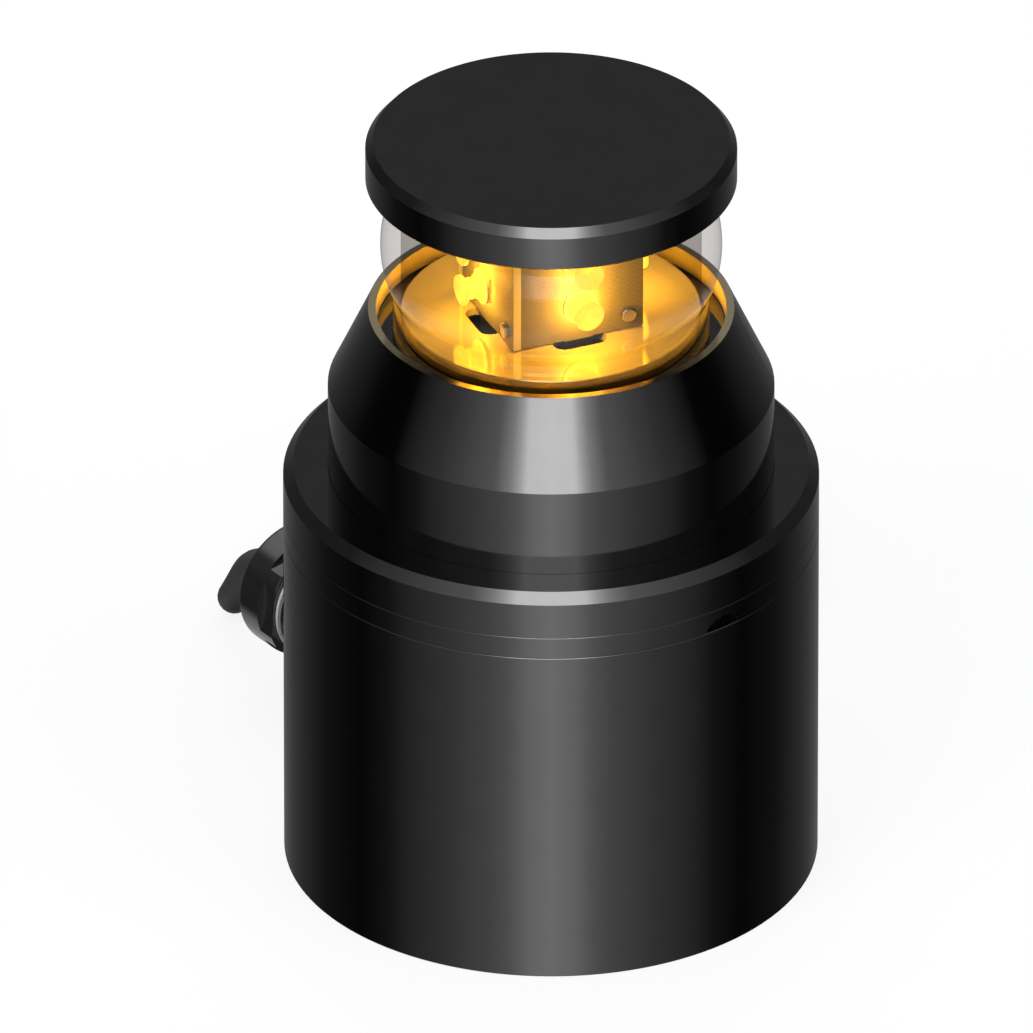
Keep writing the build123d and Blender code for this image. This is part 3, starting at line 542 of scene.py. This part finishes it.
def finish_nodes():
    """Gives every CAD node that stays its detailed material."""
    black = black_metal()
    steel = turned_metal(
        "screw_steel", colour=(0.62, 0.61, 0.60), roughness=0.22, ring_scale=2500.0
    )
    bare = turned_metal(
        "bare_aluminium", colour=(0.78, 0.77, 0.75), roughness=0.30, ring_scale=1800.0
    )
    cans = turned_metal(
        "capacitor_can", colour=(0.7, 0.7, 0.72), roughness=0.25, ring_scale=400.0
    )
    tinned = turned_metal(
        "tinned_ferrule", colour=(0.75, 0.75, 0.75), roughness=0.2, ring_scale=3000.0
    )
    driver = circuit_board(
        "driver_board_green", mask=(0.02, 0.12, 0.05), weave=(0.05, 0.2, 0.1)
    )
    rubber = moulded("seal_rubber", colour=(0.025, 0.025, 0.025), roughness=0.7)
    silicone = moulded("silicone_white", colour=(0.92, 0.92, 0.90), roughness=0.4)
    slippery = moulded("slip_ring_white", colour=(0.8, 0.8, 0.77), roughness=0.4)
    chip = moulded("chip_black", colour=(0.03, 0.03, 0.03), roughness=0.5)
    terminal = moulded("terminal_green", colour=(0.04, 0.28, 0.1), roughness=0.3)
    tie = moulded("tie_black", colour=(0.03, 0.03, 0.03), roughness=0.45)
    ceramic = moulded("led_base_ceramic", colour=(0.85, 0.68, 0.40), roughness=0.35)
    optic = amber_optic()
    gland = gland_plastic()
    core = moulded("core_red", colour=(0.55, 0.03, 0.02), roughness=0.3)
    finishes = {
        "base_sleeve": black,
        "base_seal_ring": rubber,
        "lock_ring": black,
        "retaining_collar": black,
        "collar_slip_ring": slippery,
        "head_seal_ring": rubber,
        "lamp_housing": housing_metal(),
        "housing_plug": black,
        "housing_plug_seal": rubber,
        "cable_grommet": rubber,
        "reflector_deck": reflector_metal(),
        "lens_ring": clear_lens(),
        "lens_seal_lower": rubber,
        "lens_seal_upper": rubber,
        "top_cap": black,
        "heat_sink_column": bare,
        "board_screws": steel,
        "tie_rod": steel,
        "tie_washer": steel,
        "tie_nut": steel,
        "led_leads": core,
        "driver_board": driver,
        "driver_standoffs": steel,
        "driver_screws": steel,
        "driver_coils": wound_wire(),
        "driver_capacitors": cans,
        "driver_chips": chip,
        "terminal_block": terminal,
        "gland_body": gland,
        "gland_washer": steel,
        "gland_seal": rubber,
        "gland_o_ring": silicone,
        "gland_slip_ring": slippery,
        "gland_nut": gland,
        "inner_cable": cable_sheath(),
        "inner_cores": core,
        "cable_tie": tie,
        "cable_cores": core,
        "core_ferrules": tinned,
    }
    for i in range(BOARD_COUNT):
        finishes[f"led_board_{i + 1}"] = led_circuit_board(board_turn(i))
        finishes[f"led_bodies_{i + 1}"] = ceramic
        finishes[f"led_optics_{i + 1}"] = optic
    for name, material in finishes.items():
        NODES[name].material_slots[0].material = material


# Lamps, world and floor

def make_led_lights():
    """A small amber lamp in the waist of each optic. The optics and their bases cast no
    shadow, so that its light gets out."""
    for i in range(BOARD_COUNT):
        for name in ("led_optics", "led_bodies"):
            NODES[f"{name}_{i + 1}"].visible_shadow = False
        turn = board_turn(i)
        reach = POST_HALF + BOARD_T + LED_GLOW_DEPTH
        for height in LED_HEIGHTS:
            lamp = bpy.data.lights.new("led_light", "POINT")
            lamp.color = AMBER
            lamp.energy = LED_WATTS
            lamp.shadow_soft_size = LED_LAMP_R
            spot = bpy.data.objects.new("led_light", lamp)
            spot.location = (reach * cos(turn), reach * sin(turn), DECK_TOP + height)
            for ray in ("camera", "glossy", "transmission"):
                setattr(spot, "visible_" + ray, False)
            bpy.context.scene.collection.objects.link(spot)


def make_softbox(name, place, side, watts):
    """A square lamp that faces the light's middle and leaves no mirror image of itself."""
    lamp = bpy.data.lights.new(name, "AREA")
    lamp.size = side
    lamp.energy = watts
    box = bpy.data.objects.new(name, lamp)
    box.location = place
    aim = VIEW_CENTRE - Vector(place)
    box.rotation_euler = aim.to_track_quat("-Z", "Y").to_euler()
    box.visible_glossy = False
    box.visible_camera = False
    bpy.context.scene.collection.objects.link(box)


def front_share(tree, direction):
    """How far round from the front a direction points: 0 at the front, 1 at the back.
    Looking up counts as looking forward, since the softbox leans over the light."""
    x, y, z = direction
    lean = compute(tree, "MULTIPLY", compute(tree, "MAXIMUM", z, 0.0), SOFTBOX_LEAN)
    front = compute(tree, "SUBTRACT", lean, y)
    turn = compute(tree, "ARCTAN2", x, front)
    return compute(tree, "DIVIDE", compute(tree, "ABSOLUTE", turn), pi)


def fill_ramp(tree, factor, stops):
    """A ramp with a grey value at each angle from the front, in degrees."""
    ramp = add(tree, "ValToRGB", Fac=factor)
    elements = ramp.color_ramp.elements
    while len(elements) > 1:
        elements.remove(elements[-1])
    for i, (angle, value) in enumerate(stops):
        place = angle / 180
        element = elements[0] if i == 0 else elements.new(place)
        element.position = place
        element.color = grey(value)
    return ramp.outputs["Color"]


def background(tree, strength, colour=grey(1.0)):
    return add(tree, "Background", Color=colour, Strength=strength).outputs[0]


def studio_room(tree):
    """What reflections show: softbox and ceiling above the horizon, white ground below, a
    light panel high up behind and lighter ground close by."""
    coord = add(tree, "TexCoord").outputs["Generated"]
    direction = add(tree, "SeparateXYZ", Vector=coord).outputs
    share = front_share(tree, direction)
    back = direction["Y"]
    height = direction["Z"]

    softbox_level = fade(tree, height, SOFTBOX_LEVEL, 0.0, SOFTBOX_END_SPAN)
    softbox = background(tree, softbox_level, fill_ramp(tree, share, SOFTBOX_STOPS))
    ceiling_level = fade(tree, height, 0.0, CEILING_LEVEL, CEILING_SPAN, "SMOOTHSTEP")
    ceiling = background(tree, ceiling_level)
    above = add(tree, "AddShader", values=[softbox, ceiling]).outputs[0]

    ground_level = fade(tree, height, FLOOR_LEVEL, NADIR_LEVEL, NADIR_SPAN)
    below = background(tree, ground_level, fill_ramp(tree, share, FLOOR_STOPS))
    upper = fade(tree, height, 0.0, 1.0, HORIZON_SPAN, "SMOOTHSTEP")
    room = add(tree, "MixShader", values=[upper, below, above]).outputs[0]

    panel_side = fade(tree, back, 0.0, 1.0, REAR_PANEL_BACK_SPAN)
    panel_rise = fade(tree, height, 0.0, REAR_PANEL_LEVEL, REAR_PANEL_RISE_SPAN)
    rear_panel = compute(tree, "MULTIPLY", panel_side, panel_rise)
    ground_start = fade(tree, height, 0.0, NEAR_GROUND_LEVEL, NEAR_GROUND_SPAN)
    ground_end = fade(tree, height, 1.0, 0.0, NEAR_GROUND_END_SPAN)
    near_ground = compute(tree, "MULTIPLY", ground_start, ground_end)
    panels = background(tree, compute(tree, "ADD", rear_panel, near_ground))
    return add(tree, "AddShader", values=[room, panels]).outputs[0]


def direct_rays(tree):
    """1 for what the camera sees, straight or through glass, and 0 for all other rays."""
    rays = add(tree, "LightPath").outputs
    return compute(tree, "MAXIMUM", rays["Is Camera Ray"], rays["Is Transmission Ray"])


def make_world():
    """White to the camera and through glass, the studio in reflections, soft fill elsewhere."""
    world = bpy.data.worlds.new("studio")
    bpy.context.scene.world = world
    world.use_nodes = True
    tree = world.node_tree
    tree.nodes.clear()
    fill = background(tree, FILL_LEVEL)
    white = background(tree, 1.0)
    glossy = add(tree, "LightPath").outputs["Is Glossy Ray"]
    unseen = add(tree, "MixShader", values=[glossy, fill, studio_room(tree)]).outputs[0]
    final = add(tree, "MixShader", values=[direct_rays(tree), unseen, white])
    add(tree, "OutputWorld", Surface=final.outputs[0])


def make_floor():
    """Pale floor that stays white in view and keeps a faint shadow; the world's ground
    stands in for it in reflections."""
    bpy.ops.mesh.primitive_plane_add(size=FLOOR_SIDE)
    floor = bpy.context.object
    floor.name = "studio_floor"
    material = bpy.data.materials.new("floor_white")
    material.use_nodes = True
    tree = material.node_tree
    tree.nodes.clear()
    matt = add(tree, "BsdfDiffuse", Color=grey(FLOOR_GREY))
    level = compute(tree, "MULTIPLY", direct_rays(tree), FLOOR_GLOW)
    glow = add(tree, "Emission", Color=grey(1.0), Strength=level)
    total = add(tree, "AddShader", values=[matt.outputs[0], glow.outputs[0]])
    add(tree, "OutputMaterial", Surface=total.outputs[0])
    floor.data.materials.append(material)
    floor.visible_glossy = False


make_camera()
make_cable()
finish_nodes()
make_led_lights()
make_softbox("key_softbox", place=(-0.7, -1.0, 1.1), side=0.8, watts=7.0)
make_softbox("fill_softbox", place=(0.9, -0.7, 0.7), side=0.9, watts=3.5)
make_softbox("back_softbox", place=(0.0, 1.0, 1.2), side=0.9, watts=3.0)
make_world()
make_floor()
bpy.context.scene.view_settings.view_transform = "Standard"
